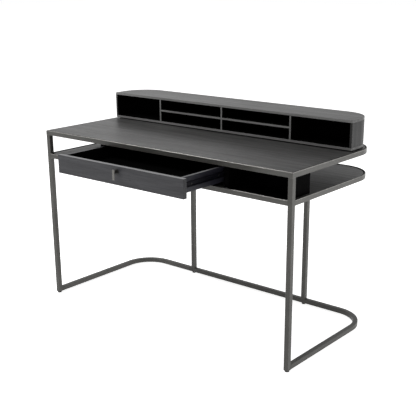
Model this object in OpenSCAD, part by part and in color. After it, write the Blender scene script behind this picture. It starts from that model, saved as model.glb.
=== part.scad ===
// Writing desk with one drawer, an open shelf and a low organiser on its top.
// Seen from above, the desk and the organiser are square at the front and round at the two rear corners.
// X runs to the right, Y to the back and Z up. The drawer stands partly open.

/* [Desk] */
// Width of the desk, left to right
desk_w = 1300; // [1050:10:1700]
// Depth of the desk, front to back
desk_d = 615; // [500:5:800]
// Height of the desktop above the floor
desk_h = 762; // [700:1:850]
// Clear height between the shelf and the top frame
shelf_clear = 82; // [69:1:140]
// Radius of the two rear corners
corner_r = 140; // [80:5:190]

/* [Steel frame] */
// Width of the square tube of legs and base rail
tube = 20; // [16:0.5:30]
// Wall thickness of that tube
tube_wall = 1.5; // [1:0.1:3]
// Height of the base rail, the top frame and the shelf frame
rail_h = 20; // [16:0.5:30]
// Thickness of the lip that shows around each panel
lip_t = 3; // [2:0.5:6]
// Thickness of the flange that a panel rests on
flange_t = 3; // [2:0.5:5]
// Distance of each rear leg's centre from the middle of the desk
rear_leg_x = 323; // [150:1:370]
// Gap between a panel's edge and the lip around it
panel_gap = 1; // [0.3:0.1:2]
// Depth of the shelf's panel below the lip around it
shelf_recess = 2.5; // [0:0.5:3]

/* [Feet] */
// Height of a floor glide below the frame
glide_h = 6; // [4:0.5:15]
// Distance of a floor glide's edge inside the tube's sides
glide_inset = 1; // [0.5:0.1:1.4]
// Diameter of a glide's stem
glide_stem_d = 8; // [5:0.5:10]
// Length of a glide's stem
glide_stem_l = 12; // [8:1:13]
// Length of the plug in the lower end of a front leg
plug_l = 18; // [15:1:40]

/* [Drawer bay and cubby] */
// How far the drawer's middle lies to the right of the desk's middle
drawer_x = 12; // [-60:1:60]
// Clear width between the two bay sides
bay_w = 644; // [500:1:690]
// Gap between the shut drawer front and the bay sides
shut_gap = 1; // [0.5:0.1:4]
// Gap between the shut drawer and the back of the bay
bay_rear_gap = 19; // [2:1:40]
// Thickness of each bay side
bay_side_t = 18; // [12:1:25]
// Thickness of the boards that close the bay and the cubby at the back
back_board_t = 12; // [6:1:18]
// Depth of the cubby from the front of the desk to the back of its rear board
cubby_depth = 141; // [100:1:300]
// Thickness of the cubby's end wall
cubby_side_t = 15; // [10:1:25]

/* [Drawer] */
// How far the drawer stands open
drawer_open = 220; // [0:5:300]
// Thickness of the drawer front
drawer_front_t = 18; // [12:0.5:18]
// Gap between the drawer front and the shelf
front_gap = 1; // [1:0.1:4]
// Gap between the drawer front and the top frame
top_gap = 7.5; // [2:0.5:12]
// How far the drawer front laps over each bay side
front_overlap = 8; // [2:0.5:12]
// Length of the drawer box behind its front
drawer_len = 400; // [320:5:500]
// Height of the drawer's sides above the shelf
side_lift = 15; // [6:1:17]
// Gap between the drawer's sides and the top frame
side_clear = 8; // [3:1:14]
// Thickness of the drawer's sides and back
side_t = 12; // [10:0.5:16]
// Thickness of the drawer's bottom
bottom_t = 6; // [4:0.5:8]
// Height of the drawer's bottom above the lower edge of its sides
bottom_lift = 6; // [4:0.5:12]
// Depth of the groove that holds the drawer's bottom
groove_depth = 4; // [3:0.5:6]
// Play of the drawer's bottom in its groove
groove_play = 0.2; // [0.1:0.1:0.5]

/* [Runners] */
// Thickness of a runner with both members, from bay side to drawer side
runner_t = 10.5; // [9.5:0.1:14]
// Distance of a moving runner's rear end from the rear end of the drawer
runner_end_gap = 5; // [2:1:30]
// Height of a runner's fixed member
fixed_h = 27; // [25:0.5:35]
// Depth of the fixed member
fixed_depth = 8; // [7.5:0.1:9]
// Height of a runner's moving member
moving_h = 18; // [15:0.5:18]
// Depth of the moving member
moving_depth = 7; // [5:0.1:7]
// Sheet thickness of the runner members
runner_sheet = 1.2; // [1:0.1:1.4]
// Distance of a fixed runner from the front end of its bay side
runner_setback = 3; // [2:0.5:5]
// Diameter of a runner's balls
ball_d = 2.5; // [2:0.1:2.6]
// Number of balls in each row
ball_count = 10; // [4:1:12]
// Distance between two balls
ball_pitch = 8; // [6:0.5:8]
// Width of a ball cage
cage_w = 4; // [3:0.5:4.5]
// Thickness of a ball cage
cage_t = 1; // [0.8:0.1:1.4]
// Distance from the last ball to the end of its cage
cage_margin = 7; // [4:0.5:10]
// Distance a ball cage keeps from the ends of the runner members
cage_gap = 2; // [1:0.5:10]

/* [Pull] */
// Distance of the pull's stem below the top edge of the drawer front
pull_drop = 21; // [15:1:45]
// Diameter of the rosette
rosette_d = 22; // [16:1:30]
// Thickness of the rosette
rosette_t = 2; // [1:0.5:4]
// Diameter of the stem
stem_d = 13; // [8:0.5:16]
// Length of the stem
stem_l = 14; // [12:1:30]
// Width of the hanging tab
tab_w = 10; // [8:0.5:20]
// Height of the hanging tab
tab_h = 39; // [25:1:45]
// Thickness of the hanging tab
tab_t = 3; // [2:0.5:5]
// Height of the tab's top edge above the stem's centre
tab_rise = 10; // [7:0.5:12]
// Diameter of the bolt that holds the pull
pull_bolt_d = 4; // [3:0.5:5]
// Length of the bolt inside the stem
pull_bolt_grip = 10; // [6:1:11]

/* [Organiser] */
// Distance of the organiser from the desk's sides and back
organiser_inset = 15; // [0:1:60]
// Depth of the organiser
organiser_depth = 183; // [150:1:260]
// Height of the organiser above its plinth
organiser_h = 116; // [90:1:200]
// Thickness of the organiser's top, bottom and curved wall
shell_t = 10; // [8:0.5:18]
// Thickness of its dividers and shelves
divider_t = 8; // [6:0.5:12]
// Distance of the outer dividers from the middle
divider_x = 352; // [200:1:390]
// Height of the plinth
plinth_h = 5; // [3:0.5:20]
// Distance of the plinth's edge behind the organiser's edge
plinth_inset = 12; // [6:1:30]

/* [Screws] */
// Diameter of a panel screw
screw_d = 4; // [3:0.5:5]
// Depth of a panel screw in its board
screw_grip = 12; // [8:1:14]
// Diameter of a screw's head
screw_head_d = 8; // [7:0.5:10]
// Height of a pan head
pan_head_h = 2; // [1.5:0.5:3]
// Height of a countersunk head
sunk_head_h = 2.5; // [2:0.5:3]
// Distance of the front screws from the end of the desk
front_screw_inset = 150; // [80:5:180]
// Distance of the rear screws from the start of the round corner
rear_screw_inset = 30; // [10:5:120]
// Diameter of a runner screw
runner_screw_d = 3.5; // [3:0.1:4]
// Diameter of its head
runner_head_d = 7; // [6:0.5:8]
// Height of its head
runner_head_h = 1.4; // [1:0.1:1.5]
// Depth of a runner screw in its board
runner_screw_grip = 9; // [6:0.5:10]
// Distance of the outer runner screws from the ends of the runner
runner_screw_inset = 40; // [15:1:100]

/* [Hidden] */
steel = [0.36, 0.35, 0.32];
veneer = [0.33, 0.33, 0.34];
lining = [0.16, 0.16, 0.17];
zinc = [0.62, 0.62, 0.60];
plastic = [0.10, 0.10, 0.10];
sides = [-1, 1];
arc_fn = 96;
bore_fn = 32;
overrun = 1;

// Depth places. The row's origin is in the middle of all that stands on the floor, open drawer included.
pull_proud = rosette_t + stem_l + tab_t;
back_y = (desk_d + drawer_open + pull_proud) / 2;
front_y = back_y - desk_d;
rail_back_y = front_y + tube;
flange_mid = (lip_t + tube) / 2;

glide_d = tube - 2 * glide_inset;

// Heights
panel_t = rail_h - flange_t;
top_frame_z = desk_h - rail_h;
shelf_h = top_frame_z - shelf_clear;
shelf_frame_z = shelf_h - rail_h;
base_top_z = glide_h + rail_h;
panel_z = desk_h - panel_t;
shelf_z = shelf_h - shelf_recess;
board_h = panel_z - shelf_z;

// Bay and cubby
bay_left_x = drawer_x - bay_w / 2;
bay_right_x = drawer_x + bay_w / 2;
shut_box_y = front_y + drawer_front_t;
bay_y = max(rail_back_y, shut_box_y + shut_gap);
bay_end_y = shut_box_y + drawer_len + bay_rear_gap + back_board_t;
cubby_left_x = bay_right_x + bay_side_t;
cubby_right_x = desk_w / 2 - tube - cubby_side_t;
cubby_end_y = front_y + cubby_depth;

// Drawer, where it stands
face_y = front_y - drawer_open;
box_y = face_y + drawer_front_t;
front_z = shelf_h + front_gap;
front_h = shelf_clear - front_gap - top_gap;
front_w = bay_w + 2 * front_overlap;
side_z = shelf_h + side_lift;
side_h = shelf_clear - side_lift - side_clear;
bottom_z = side_z + bottom_lift;
box_w = bay_w - 2 * runner_t;
inner_w = box_w - 2 * side_t;
pull_z = front_z + front_h - pull_drop;

// Runners
runner_z = side_z + side_h / 2;
fixed_y = bay_y + runner_setback;
moving_y = fixed_y - drawer_open;
runner_l = shut_box_y + drawer_len - runner_end_gap - fixed_y;
ball_z = (fixed_h / 2 - runner_sheet + moving_h / 2) / 2;
ball_x = (runner_t - moving_depth + fixed_depth) / 2;
cage_l = ball_pitch * (ball_count - 1) + 2 * cage_margin;
drawer_travel = runner_l - cage_l - 2 * cage_gap;
cage_y = fixed_y + cage_gap + (drawer_travel - drawer_open) / 2;
runner_screws = [runner_screw_inset, runner_l / 2, runner_l - runner_screw_inset];

// Organiser
organiser_w = desk_w / 2 - organiser_inset;
organiser_back_y = back_y - organiser_inset;
organiser_y = organiser_back_y - organiser_depth;
organiser_r = corner_r - organiser_inset;
organiser_z = desk_h + plinth_h;
floor_z = organiser_z + shell_t;
inside_h = organiser_h - 2 * shell_t;
inside_d = organiser_depth - shell_t;
organiser_screws = [
    for (side = sides, x = [divider_x / 2, (divider_x + organiser_w) / 2])
    [side * x, organiser_y + organiser_depth / 2]
];

// Screws in the flanges, the same above and below
flange_screws = [
    for (side = sides)
    each [
        [side * (desk_w / 2 - front_screw_inset), front_y + flange_mid],
        [side * (desk_w / 2 - flange_mid), (front_y + back_y) / 2],
        [side * (desk_w / 2 - corner_r - rear_screw_inset), back_y - flange_mid]
    ]
];
glide_places = [
    for (side = sides)
    each [
        [side * (desk_w - tube) / 2, front_y + tube / 2],
        [side * rear_leg_x, back_y - tube / 2]
    ]
];

// Outline with square front corners and round rear corners
module d_outline(half_w, y0, y1, r) {
    translate([-half_w, y0])
        square([2 * half_w, y1 - y0 - r]);
    translate([r - half_w, y0])
        square([2 * (half_w - r), y1 - y0]);
    for (side = sides)
        translate([side * (half_w - r), y1 - r])
            intersection() {
                circle(r = r, $fn = arc_fn);
                translate([-r, 0])
                    square([2 * r, r]);
            }
}

// The desk's own outline, moved in by an even inset
module desk_outline(inset) {
    d_outline(desk_w / 2 - inset, front_y + inset, back_y - inset, corner_r - inset);
}

// Strip along the sides and the back of such an outline, open at the front
module u_strip(half_w, y0, y1, r, thickness) {
    difference() {
        d_outline(half_w, y0, y1, r);
        d_outline(half_w - thickness, y0 - overrun, y1 - thickness, r - thickness);
    }
}

module leg_square(side, gap) {
    translate([side * (desk_w - tube) / 2, front_y + tube / 2])
        square(tube + 2 * gap, center = true);
}

module square_tube(height) {
    linear_extrude(height)
        difference() {
            square(tube, center = true);
            square(tube - 2 * tube_wall, center = true);
        }
}

// Upright hole or shank at each of a list of places
module at_places(places) {
    for (place = places)
        translate([place[0], place[1], 0])
            children();
}

// Things on the drawer's left (-1) or right (1) side, drawn for the left with X = 0 on the bay side
module on_side(side) {
    translate([drawer_x, 0, 0])
        mirror([side > 0 ? 1 : 0, 0, 0])
            translate([-bay_w / 2, 0, 0])
                children();
}

// Screw along X with its head's top at X = 0, pointing towards +X or -X
module side_screw(direction) {
    rotate([0, 90 * direction, 0]) {
        cylinder(h = runner_head_h, d = runner_head_d, $fn = bore_fn);
        cylinder(h = runner_head_h + runner_sheet + runner_screw_grip, d = runner_screw_d, $fn = bore_fn);
    }
}

// Steel frame

module base_rail() {
    color(steel)
        difference() {
            translate([0, 0, glide_h])
                linear_extrude(rail_h)
                    u_strip(desk_w / 2, rail_back_y, back_y, corner_r, tube);
            translate([0, 0, glide_h + tube_wall])
                linear_extrude(rail_h - 2 * tube_wall)
                    u_strip(desk_w / 2 - tube_wall, rail_back_y - overrun, back_y - tube_wall,
                        corner_r - tube_wall, tube - 2 * tube_wall);
            at_places(glide_places)
                cylinder(h = glide_h + rail_h / 2, d = glide_stem_d, $fn = bore_fn);
        }
}

module front_leg(side) {
    color(steel)
        translate([side * (desk_w - tube) / 2, front_y + tube / 2, glide_h])
            square_tube(top_frame_z - glide_h);
}

module rear_leg(side) {
    color(steel)
        translate([side * rear_leg_x, back_y - tube / 2, base_top_z])
            square_tube(shelf_frame_z - base_top_z);
}

module front_leg_left() { front_leg(-1); }
module front_leg_right() { front_leg(1); }
module rear_leg_left() { rear_leg(-1); }
module rear_leg_right() { rear_leg(1); }

module leg_plugs() {
    color(plastic)
        for (side = sides)
            translate([side * (desk_w - tube) / 2, front_y + tube / 2, glide_h])
                difference() {
                    linear_extrude(plug_l)
                        square(tube - 2 * tube_wall, center = true);
                    translate([0, 0, -overrun])
                        cylinder(h = glide_stem_l + overrun, d = glide_stem_d, $fn = bore_fn);
                }
}

module floor_glides() {
    color(plastic)
        at_places(glide_places) {
            cylinder(h = glide_h, d = glide_d, $fn = bore_fn);
            cylinder(h = glide_h + glide_stem_l, d = glide_stem_d, $fn = bore_fn);
        }
}

// Angle-section ring: a flange under the panel and a thin lip around it
module angle_ring() {
    difference() {
        linear_extrude(rail_h)
            desk_outline(0);
        translate([0, 0, flange_t])
            linear_extrude(rail_h)
                desk_outline(lip_t);
        translate([0, 0, -overrun])
            linear_extrude(rail_h)
                desk_outline(tube);
        translate([0, 0, -overrun])
            at_places(flange_screws)
                cylinder(h = flange_t + 2 * overrun, d = screw_d, $fn = bore_fn);
    }
}

module top_frame() {
    color(steel)
        translate([0, 0, top_frame_z])
            angle_ring();
}

module shelf_frame() {
    color(steel)
        translate([0, 0, shelf_frame_z])
            difference() {
                angle_ring();
                translate([0, 0, -overrun])
                    linear_extrude(rail_h + 2 * overrun)
                        for (side = sides)
                            leg_square(side, 0);
            }
}

// Panel with blind screw holes in its underside
module inset_panel(recess) {
    difference() {
        linear_extrude(panel_t - recess)
            desk_outline(lip_t + panel_gap);
        translate([0, 0, -overrun])
            at_places(flange_screws)
                cylinder(h = screw_grip + overrun, d = screw_d, $fn = bore_fn);
    }
}

module desktop_panel() {
    color(veneer)
        difference() {
            translate([0, 0, panel_z])
                inset_panel(0);
            translate([0, 0, desk_h - screw_grip])
                at_places(organiser_screws)
                    cylinder(h = screw_grip + overrun, d = screw_d, $fn = bore_fn);
        }
}

module shelf_panel() {
    color(veneer)
        translate([0, 0, shelf_h - panel_t])
            difference() {
                inset_panel(shelf_recess);
                translate([0, 0, -overrun])
                    linear_extrude(panel_t + 2 * overrun)
                        for (side = sides)
                            leg_square(side, panel_gap);
            }
}

module flange_screw_set() {
    color(zinc)
        at_places(flange_screws) {
            translate([0, 0, -pan_head_h])
                cylinder(h = pan_head_h, d = screw_head_d, $fn = bore_fn);
            cylinder(h = flange_t + screw_grip, d = screw_d, $fn = bore_fn);
        }
}

module desktop_screws() {
    translate([0, 0, top_frame_z])
        flange_screw_set();
}

module shelf_screws() {
    translate([0, 0, shelf_frame_z])
        flange_screw_set();
}

// Drawer bay and cubby

module bay_side(side) {
    color(lining)
        on_side(side)
            difference() {
                translate([-bay_side_t, bay_y, shelf_z])
                    cube([bay_side_t, bay_end_y - bay_y, board_h]);
                for (along = runner_screws)
                    translate([-runner_screw_grip, fixed_y + along, runner_z])
                        rotate([0, 90, 0])
                            cylinder(h = runner_screw_grip + overrun, d = runner_screw_d, $fn = bore_fn);
            }
}

module bay_side_left() { bay_side(-1); }
module bay_side_right() { bay_side(1); }

module bay_back() {
    color(lining)
        translate([bay_left_x, bay_end_y - back_board_t, shelf_z])
            cube([bay_w, back_board_t, board_h]);
}

module cubby_side() {
    color(lining)
        translate([cubby_right_x, rail_back_y, shelf_z])
            cube([cubby_side_t, cubby_end_y - rail_back_y, board_h]);
}

module cubby_back() {
    color(lining)
        translate([cubby_left_x, cubby_end_y - back_board_t, shelf_z])
            cube([cubby_right_x - cubby_left_x, back_board_t, board_h]);
}

// Runners

module runner_fixed(side) {
    color(zinc)
        on_side(side)
            difference() {
                translate([0, fixed_y, runner_z - fixed_h / 2])
                    cube([fixed_depth, runner_l, fixed_h]);
                translate([runner_sheet, fixed_y - overrun, runner_z - fixed_h / 2 + runner_sheet])
                    cube([fixed_depth, runner_l + 2 * overrun, fixed_h - 2 * runner_sheet]);
                for (along = runner_screws)
                    translate([-overrun, fixed_y + along, runner_z])
                        rotate([0, 90, 0])
                            cylinder(h = runner_sheet + 2 * overrun, d = runner_screw_d, $fn = bore_fn);
            }
}

module runner_fixed_left() { runner_fixed(-1); }
module runner_fixed_right() { runner_fixed(1); }

module runner_screws_fixed() {
    color(zinc)
        for (side = sides)
            on_side(side)
                for (along = runner_screws)
                    translate([runner_sheet + runner_head_h, fixed_y + along, runner_z])
                        side_screw(-1);
}

module runner_moving(side) {
    color(zinc)
        on_side(side)
            difference() {
                translate([runner_t - moving_depth, moving_y, runner_z - moving_h / 2])
                    cube([moving_depth, runner_l, moving_h]);
                translate([0, moving_y - overrun, runner_z - moving_h / 2 + runner_sheet])
                    cube([runner_t - runner_sheet, runner_l + 2 * overrun, moving_h - 2 * runner_sheet]);
                for (along = runner_screws)
                    translate([0, moving_y + along, runner_z])
                        rotate([0, 90, 0])
                            cylinder(h = runner_t + overrun, d = runner_screw_d, $fn = bore_fn);
            }
}

module runner_moving_left() { runner_moving(-1); }
module runner_moving_right() { runner_moving(1); }

module runner_screws_moving() {
    color(zinc)
        for (side = sides)
            on_side(side)
                for (along = runner_screws)
                    translate([runner_t - runner_sheet - runner_head_h, moving_y + along, runner_z])
                        side_screw(1);
}

// Two strips that space the balls, one above and one below the moving member
module ball_cage(side) {
    color(zinc)
        on_side(side)
            for (level = sides)
                translate([ball_x, cage_y, runner_z + level * ball_z]) {
                    translate([-cage_w / 2, 0, -cage_t / 2])
                        cube([cage_w, cage_l, cage_t]);
                    for (i = [0 : ball_count - 1])
                        translate([0, cage_margin + i * ball_pitch, 0])
                            sphere(d = ball_d, $fn = bore_fn);
                }
}

module ball_cage_left() { ball_cage(-1); }
module ball_cage_right() { ball_cage(1); }

// Drawer

module drawer_front() {
    color(veneer)
        difference() {
            translate([drawer_x - front_w / 2, face_y, front_z])
                cube([front_w, drawer_front_t, front_h]);
            translate([drawer_x - inner_w / 2 - groove_depth, box_y - groove_depth, bottom_z])
                cube([inner_w + 2 * groove_depth, groove_depth + overrun, bottom_t + groove_play]);
            translate([drawer_x, face_y - overrun, pull_z])
                rotate([-90, 0, 0])
                    cylinder(h = drawer_front_t + 2 * overrun, d = pull_bolt_d, $fn = bore_fn);
        }
}

module drawer_side(side) {
    color(lining)
        on_side(side)
            difference() {
                translate([runner_t, box_y, side_z])
                    cube([side_t, drawer_len, side_h]);
                translate([runner_t + side_t - groove_depth, box_y - overrun, bottom_z])
                    cube([groove_depth + overrun, drawer_len + 2 * overrun, bottom_t + groove_play]);
                for (along = runner_screws)
                    translate([runner_t - overrun, moving_y + along, runner_z])
                        rotate([0, 90, 0])
                            cylinder(h = runner_screw_grip + overrun, d = runner_screw_d, $fn = bore_fn);
            }
}

module drawer_side_left() { drawer_side(-1); }
module drawer_side_right() { drawer_side(1); }

module drawer_back() {
    back_z = bottom_z + bottom_t + groove_play;
    color(lining)
        translate([drawer_x - inner_w / 2, box_y + drawer_len - side_t, back_z])
            cube([inner_w, side_t, side_z + side_h - back_z]);
}

module drawer_bottom() {
    reach = groove_depth - groove_play;
    color(lining)
        translate([drawer_x - inner_w / 2 - reach, box_y - reach, bottom_z])
            cube([inner_w + 2 * reach, drawer_len + reach, bottom_t]);
}

module pull_rosette() {
    color(steel)
        translate([drawer_x, face_y, pull_z])
            rotate([90, 0, 0])
                difference() {
                    cylinder(h = rosette_t, d = rosette_d, $fn = bore_fn);
                    translate([0, 0, -overrun])
                        cylinder(h = rosette_t + 2 * overrun, d = pull_bolt_d, $fn = bore_fn);
                }
}

module pull_stem() {
    color(steel)
        translate([drawer_x, face_y - rosette_t, pull_z])
            rotate([90, 0, 0])
                difference() {
                    cylinder(h = stem_l, d = stem_d, $fn = bore_fn);
                    translate([0, 0, -overrun])
                        cylinder(h = pull_bolt_grip + overrun, d = pull_bolt_d, $fn = bore_fn);
                }
}

module pull_tab() {
    color(steel)
        translate([drawer_x - tab_w / 2, face_y - pull_proud, pull_z + tab_rise - tab_h])
            cube([tab_w, tab_t, tab_h]);
}

module pull_bolt() {
    color(zinc)
        translate([drawer_x, box_y, pull_z])
            rotate([90, 0, 0]) {
                translate([0, 0, -pan_head_h])
                    cylinder(h = pan_head_h, d = screw_head_d, $fn = bore_fn);
                cylinder(h = drawer_front_t + rosette_t + pull_bolt_grip, d = pull_bolt_d, $fn = bore_fn);
            }
}

// Organiser

module organiser_plinth() {
    color(lining)
        translate([0, 0, desk_h])
            difference() {
                linear_extrude(plinth_h)
                    d_outline(organiser_w - plinth_inset, organiser_y + plinth_inset,
                        organiser_back_y - plinth_inset, organiser_r - plinth_inset);
                translate([0, 0, -overrun])
                    at_places(organiser_screws)
                        cylinder(h = plinth_h + 2 * overrun, d = screw_d, $fn = bore_fn);
            }
}

module organiser_board() {
    linear_extrude(shell_t)
        d_outline(organiser_w, organiser_y, organiser_back_y, organiser_r);
}

// Shank with a countersunk head whose flat top is at Z = 0
module sunk_screw(length) {
    translate([0, 0, -length])
        cylinder(h = length, d = screw_d, $fn = bore_fn);
    translate([0, 0, -sunk_head_h])
        cylinder(h = sunk_head_h, d1 = screw_d, d2 = screw_head_d, $fn = bore_fn);
}

module organiser_bottom() {
    color(veneer)
        difference() {
            translate([0, 0, organiser_z])
                organiser_board();
            translate([0, 0, floor_z])
                at_places(organiser_screws)
                    sunk_screw(shell_t + overrun);
        }
}

module organiser_top() {
    color(veneer)
        translate([0, 0, floor_z + inside_h])
            organiser_board();
}

module organiser_wall() {
    color(veneer)
        translate([0, 0, floor_z])
            linear_extrude(inside_h)
                u_strip(organiser_w, organiser_y, organiser_back_y, organiser_r, shell_t);
}

module divider(x) {
    color(veneer)
        translate([x - divider_t / 2, organiser_y, floor_z])
            cube([divider_t, inside_d, inside_h]);
}

module divider_left() { divider(-divider_x); }
module divider_centre() { divider(0); }
module divider_right() { divider(divider_x); }

module mid_shelf(side) {
    length = divider_x - divider_t;
    color(veneer)
        translate([side * divider_x / 2 - length / 2, organiser_y, floor_z + (inside_h - divider_t) / 2])
            cube([length, inside_d, divider_t]);
}

module mid_shelf_left() { mid_shelf(-1); }
module mid_shelf_right() { mid_shelf(1); }

module organiser_screws() {
    color(zinc)
        translate([0, 0, floor_z])
            at_places(organiser_screws)
                sunk_screw(shell_t + plinth_h + screw_grip);
}

base_rail();
front_leg_left();
front_leg_right();
rear_leg_left();
rear_leg_right();
leg_plugs();
floor_glides();
top_frame();
shelf_frame();
desktop_panel();
shelf_panel();
desktop_screws();
shelf_screws();
bay_side_left();
bay_side_right();
bay_back();
cubby_side();
cubby_back();
runner_fixed_left();
runner_fixed_right();
runner_screws_fixed();
ball_cage_left();
ball_cage_right();
drawer_front();
drawer_side_left();
drawer_side_right();
drawer_back();
drawer_bottom();
runner_moving_left();
runner_moving_right();
runner_screws_moving();
pull_rosette();
pull_stem();
pull_tab();
pull_bolt();
organiser_plinth();
organiser_bottom();
organiser_wall();
organiser_top();
divider_left();
divider_centre();
divider_right();
mid_shelf_left();
mid_shelf_right();
organiser_screws();
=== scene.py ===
from math import atan2, cos, pi, radians

import bmesh
import bpy
from mathutils import Matrix, Vector


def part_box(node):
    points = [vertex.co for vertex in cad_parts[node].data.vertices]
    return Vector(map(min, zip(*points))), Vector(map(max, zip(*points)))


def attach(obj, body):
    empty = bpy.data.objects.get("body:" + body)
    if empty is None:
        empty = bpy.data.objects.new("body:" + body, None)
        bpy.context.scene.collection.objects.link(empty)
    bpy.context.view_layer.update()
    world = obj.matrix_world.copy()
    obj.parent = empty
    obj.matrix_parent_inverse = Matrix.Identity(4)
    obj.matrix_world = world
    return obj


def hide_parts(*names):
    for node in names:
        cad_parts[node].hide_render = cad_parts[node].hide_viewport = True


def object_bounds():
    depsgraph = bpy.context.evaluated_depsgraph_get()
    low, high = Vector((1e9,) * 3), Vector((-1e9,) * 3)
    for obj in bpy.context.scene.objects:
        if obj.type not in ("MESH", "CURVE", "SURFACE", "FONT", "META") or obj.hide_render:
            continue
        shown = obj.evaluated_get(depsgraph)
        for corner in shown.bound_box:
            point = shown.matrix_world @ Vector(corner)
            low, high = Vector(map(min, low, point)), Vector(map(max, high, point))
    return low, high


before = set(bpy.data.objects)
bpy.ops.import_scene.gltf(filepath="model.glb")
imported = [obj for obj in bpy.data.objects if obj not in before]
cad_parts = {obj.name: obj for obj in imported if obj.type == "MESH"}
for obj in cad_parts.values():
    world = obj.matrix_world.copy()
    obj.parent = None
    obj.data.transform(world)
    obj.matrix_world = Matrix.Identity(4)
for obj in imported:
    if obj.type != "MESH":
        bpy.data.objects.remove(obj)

cad_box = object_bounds()
bpy.ops.object.select_all(action="DESELECT")

# ---------------------------------------------------------------------------
# Base rail
# One length of square steel tube lies on the glides. It runs back from the left
# front leg, round both rear corners in cold bends, and forward to the right leg.
# It is ground, blackened to a bronze grey and sealed with a satin lacquer.

CORNER_R = 0.140
CORNER_STEPS = 28
TUBE_R = 0.0018
TUBE_STEPS = 3
SMOOTH_ANGLE = radians(40)
MERGE_DISTANCE = 0.00001
WEAR_AND_HIGHLIGHT_R = 0.0016
LEVEL_LINES = (12, 12, 900)


def new_group(name, inputs, outputs):
    """An empty shader node group with its named inputs and outputs."""
    group = bpy.data.node_groups.new(name, "ShaderNodeTree")
    for label, kind, value in inputs:
        socket = group.interface.new_socket(name=label, in_out="INPUT", socket_type=kind)
        if value is not None:
            socket.default_value = value
    for label, kind in outputs:
        group.interface.new_socket(name=label, in_out="OUTPUT", socket_type=kind)
    return group, group.nodes.new("NodeGroupInput"), group.nodes.new("NodeGroupOutput")


def feed(tree, socket, value):
    """Sets a socket to a number or a colour, or links another socket to it."""
    if isinstance(value, (int, float)):
        socket.default_value = value
    elif isinstance(value, tuple):
        socket.default_value = (*value, 1)
    else:
        tree.links.new(value, socket)


def add_noise(tree, vector, scale, detail, roughness=0.5, distortion=0.0):
    noise = tree.nodes.new("ShaderNodeTexNoise")
    noise.inputs["Scale"].default_value = scale
    noise.inputs["Detail"].default_value = detail
    noise.inputs["Roughness"].default_value = roughness
    noise.inputs["Distortion"].default_value = distortion
    tree.links.new(vector, noise.inputs["Vector"])
    return noise.outputs["Fac"]


def add_range(tree, value, low, high, to_low=0.0, to_high=1.0):
    """A smooth step from one value to another, while the input goes from low to high."""
    ramp = tree.nodes.new("ShaderNodeMapRange")
    ramp.interpolation_type = "SMOOTHSTEP"
    for label, end in (("From Min", low), ("From Max", high), ("To Min", to_low), ("To Max", to_high)):
        ramp.inputs[label].default_value = end
    tree.links.new(value, ramp.inputs["Value"])
    return ramp.outputs["Result"]


def add_math(tree, operation, first, second):
    node = tree.nodes.new("ShaderNodeMath")
    node.operation = operation
    for socket, value in zip(node.inputs, (first, second)):
        feed(tree, socket, value)
    return node.outputs["Value"]


def add_stretch(tree, vector, scale, turn=(0, 0, 0)):
    mapping = tree.nodes.new("ShaderNodeMapping")
    mapping.inputs["Scale"].default_value = scale
    mapping.inputs["Rotation"].default_value = turn
    tree.links.new(vector, mapping.inputs["Vector"])
    return mapping.outputs["Vector"]


def add_mix(tree, factor, first, second):
    mix = tree.nodes.new("ShaderNodeMix")
    mix.data_type = "RGBA"
    for label, value in (("Factor", factor), ("A", first), ("B", second)):
        feed(tree, mix.inputs[label], value)
    return mix.outputs["Result"]


def add_group(tree, group, **values):
    node = tree.nodes.new("ShaderNodeGroup")
    node.node_tree = group
    for label, value in values.items():
        feed(tree, node.inputs[label], value)
    return node.outputs


def new_material(name, **values):
    """A material with its Principled BSDF, set to plain values, and the object's own coordinates."""
    material = bpy.data.materials.new(name)
    material.use_nodes = True
    tree = material.node_tree
    shader = tree.nodes["Principled BSDF"]
    for label, value in values.items():
        shader.inputs[label.replace("_", " ")].default_value = value
    place = tree.nodes.new("ShaderNodeTexCoord").outputs["Object"]
    return material, tree, shader, place


def scaled(colour, factor):
    return tuple(part * factor for part in colour)


def add_bump(tree, shader, height, strength, distance):
    bump = tree.nodes.new("ShaderNodeBump")
    bump.inputs["Strength"].default_value = strength
    bump.inputs["Distance"].default_value = distance
    tree.links.new(height, bump.inputs["Height"])
    tree.links.new(bump.outputs["Normal"], shader.inputs["Normal"])


# Edge wear and painted highlight: 1 along an outer edge, which is lightened both as rubbed wear and as a
# painted edge highlight, broken up by a fine noise.
edge_wear_and_highlight, wear_and_highlight_in, wear_and_highlight_out = new_group(
    "edge_wear_and_highlight",
    [("Vector", "NodeSocketVector", None), ("Patchiness", "NodeSocketFloat", 60.0)],
    [("Mask", "NodeSocketFloat")],
)
rounded = edge_wear_and_highlight.nodes.new("ShaderNodeBevel")
rounded.samples = 4
rounded.inputs["Radius"].default_value = WEAR_AND_HIGHLIGHT_R
surface = edge_wear_and_highlight.nodes.new("ShaderNodeNewGeometry")
facing = edge_wear_and_highlight.nodes.new("ShaderNodeVectorMath")
facing.operation = "DOT_PRODUCT"
edge_wear_and_highlight.links.new(rounded.outputs["Normal"], facing.inputs[0])
edge_wear_and_highlight.links.new(surface.outputs["True Normal"], facing.inputs[1])
patches = edge_wear_and_highlight.nodes.new("ShaderNodeTexNoise")
patches.inputs["Detail"].default_value = 5
edge_wear_and_highlight.links.new(wear_and_highlight_in.outputs["Vector"], patches.inputs["Vector"])
edge_wear_and_highlight.links.new(wear_and_highlight_in.outputs["Patchiness"], patches.inputs["Scale"])
at_edge = add_range(edge_wear_and_highlight, facing.outputs["Value"], 0.999, 0.93)
patchy = add_range(edge_wear_and_highlight, patches.outputs["Fac"], 0.35, 0.7, 0.25, 1.0)
edge_wear_and_highlight.links.new(add_math(edge_wear_and_highlight, "MULTIPLY", at_edge, patchy), wear_and_highlight_out.inputs["Mask"])


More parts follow.
